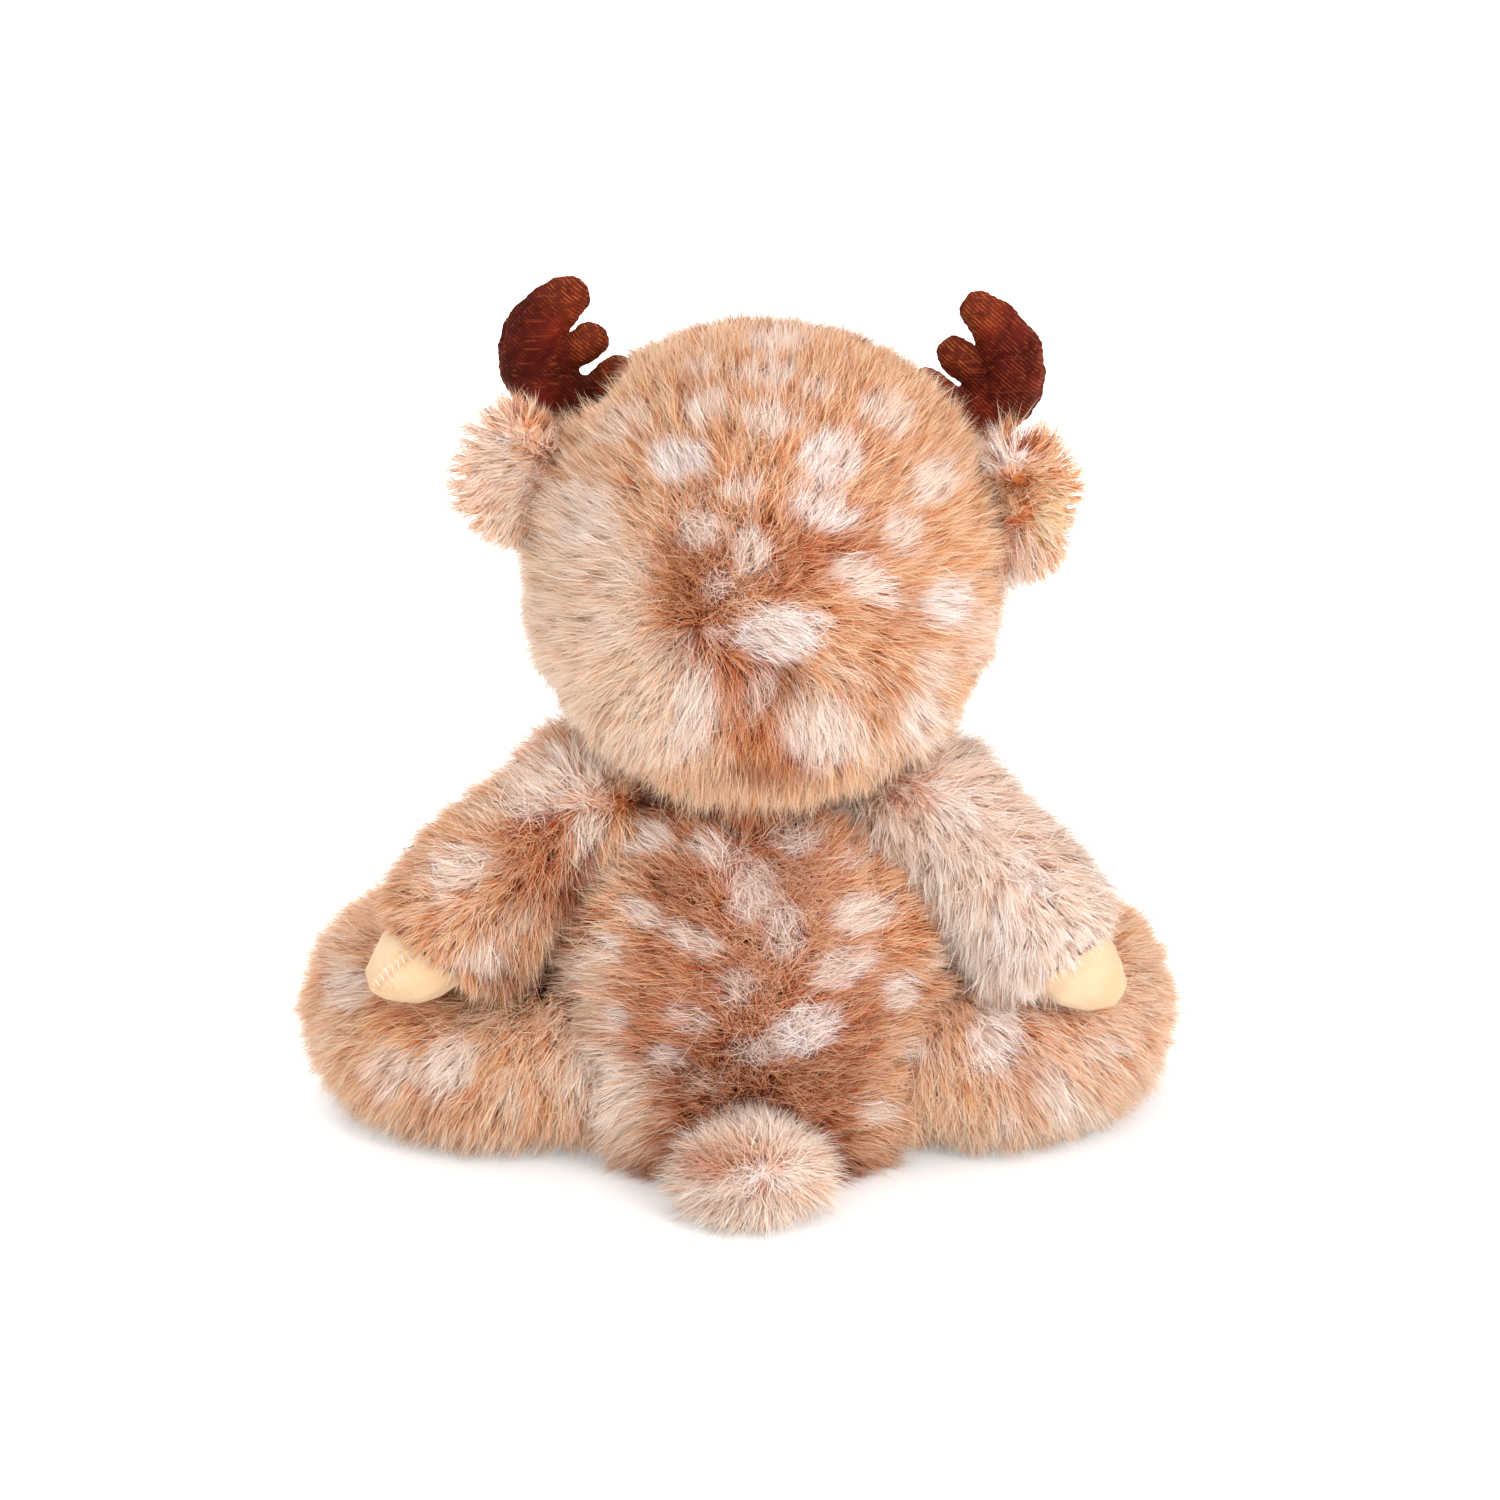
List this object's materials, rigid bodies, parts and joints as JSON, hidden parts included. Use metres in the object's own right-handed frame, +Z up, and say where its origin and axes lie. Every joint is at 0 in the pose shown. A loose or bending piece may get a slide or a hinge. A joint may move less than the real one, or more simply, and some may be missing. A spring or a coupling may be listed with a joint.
{
  "type": "plush deer",
  "caption": "Seated plush deer with a round head, branched velvet antlers, fur limbs that end in suede hooves, and a short round tail.",
  "frame": {"origin": "middle of the flat seat under the torso, on the surface that the toy sits on", "axes": "+Z up, the toy faces -Y, and its left side is +X"},
  "size_m": [0.2601, 0.1889, 0.2606],
  "materials": {
    "fur": "long silky pile, rust brown to cream, with pale spots",
    "short_plush": "short dense pile",
    "suede": "smooth brushed suede cloth",
    "ear_lining": "smooth brushed cloth",
    "velvet": "velvet with a directional nap",
    "polyester_stuffing": "loose fibre",
    "pouch_cotton": "plain weave, filled with pellets",
    "moulded_button": "polished",
    "moulded_washer": "as moulded"
  },
  "bodies": {
    "torso": {"torso_skin": "fur", "torso_stuffing": "polyester_stuffing", "pellet_pouch": "pouch_cotton"},
    "neck": {"neck_stuffing": "polyester_stuffing"},
    "head": {"head_skin": "fur", "head_stuffing": "polyester_stuffing", "muzzle_skin": "short_plush", "muzzle_stuffing": "polyester_stuffing", "nose": "moulded_button", "nose_washer": "moulded_washer", "eye_left": "moulded_button", "eye_left_washer": "moulded_washer", "eye_right": "moulded_button", "eye_right_washer": "moulded_washer"},
    "ear_left": {"ear_left": "fur", "ear_lining_left": "ear_lining"},
    "antler_left": {"antler_left": "velvet", "antler_stuffing_left": "polyester_stuffing"},
    "arm_left": {"arm_left": "fur", "arm_stuffing_left": "polyester_stuffing", "hand_hoof_left": "suede"},
    "leg_left": {"leg_left": "fur", "leg_stuffing_left": "polyester_stuffing", "foot_hoof_left": "suede"},
    "ear_right": {"ear_right": "fur", "ear_lining_right": "ear_lining"},
    "antler_right": {"antler_right": "velvet", "antler_stuffing_right": "polyester_stuffing"},
    "arm_right": {"arm_right": "fur", "arm_stuffing_right": "polyester_stuffing", "hand_hoof_right": "suede"},
    "leg_right": {"leg_right": "fur", "leg_stuffing_right": "polyester_stuffing", "foot_hoof_right": "suede"},
    "tail": {"tail": "fur", "tail_stuffing": "polyester_stuffing"}
  },
  "joints": [
    {"name": "head_turn", "type": "hinge", "parent": "torso", "child": "neck", "pos_m": [0, 0, 0.115], "axis": [0, 0, 1], "range_deg": [-35, 35], "stiffness_Nm_per_rad": 0.3},
    {"name": "head_nod", "type": "hinge", "parent": "neck", "child": "head", "pos_m": [0, 0, 0.115], "axis": [1, 0, 0], "range_deg": [-7, 8], "stiffness_Nm_per_rad": 0.8},
    {"name": "ear_left_fold", "type": "hinge", "parent": "head", "child": "ear_left", "pos_m": [0.05883, 0.006, 0.20374], "axis": [-0.2756, 0, 0.9613], "range_deg": [-15, 25], "stiffness_Nm_per_rad": 0.01},
    {"name": "antler_left_bend", "type": "hinge", "parent": "head", "child": "antler_left", "pos_m": [0.04325, -0.03, 0.21817], "axis": [-0.5664, 0, 0.8241], "range_deg": [-10, 10], "stiffness_Nm_per_rad": 0.02},
    {"name": "arm_left_lift", "type": "hinge", "parent": "torso", "child": "arm_left", "pos_m": [0.04436, 0.004, 0.10666], "axis": [0, -1, 0], "range_deg": [0, 42], "stiffness_Nm_per_rad": 0.06},
    {"name": "leg_left_lift", "type": "hinge", "parent": "torso", "child": "leg_left", "pos_m": [0.038, 0, 0.029], "axis": [-1, 0, 0], "range_deg": [0, 18], "stiffness_Nm_per_rad": 0.15},
    {"name": "ear_right_fold", "type": "hinge", "parent": "head", "child": "ear_right", "pos_m": [-0.06841, 0.006, 0.1948], "axis": [-0.1392, 0, -0.9903], "range_deg": [-15, 25], "stiffness_Nm_per_rad": 0.01},
    {"name": "antler_right_bend", "type": "hinge", "parent": "head", "child": "antler_right", "pos_m": [-0.05459, -0.03, 0.2144], "axis": [-0.4924, 0, -0.8704], "range_deg": [-10, 10], "stiffness_Nm_per_rad": 0.02},
    {"name": "arm_right_lift", "type": "hinge", "parent": "torso", "child": "arm_right", "pos_m": [-0.04436, 0.004, 0.10666], "axis": [0, 1, 0], "range_deg": [0, 42], "stiffness_Nm_per_rad": 0.06},
    {"name": "leg_right_lift", "type": "hinge", "parent": "torso", "child": "leg_right", "pos_m": [-0.038, 0, 0.029], "axis": [-1, 0, 0], "range_deg": [0, 18], "stiffness_Nm_per_rad": 0.15},
    {"name": "tail_wag", "type": "hinge", "parent": "torso", "child": "tail", "pos_m": [0, 0.04412, 0.015], "axis": [0, 0, 1], "range_deg": [-15, 15], "stiffness_Nm_per_rad": 0.03}
  ]
}
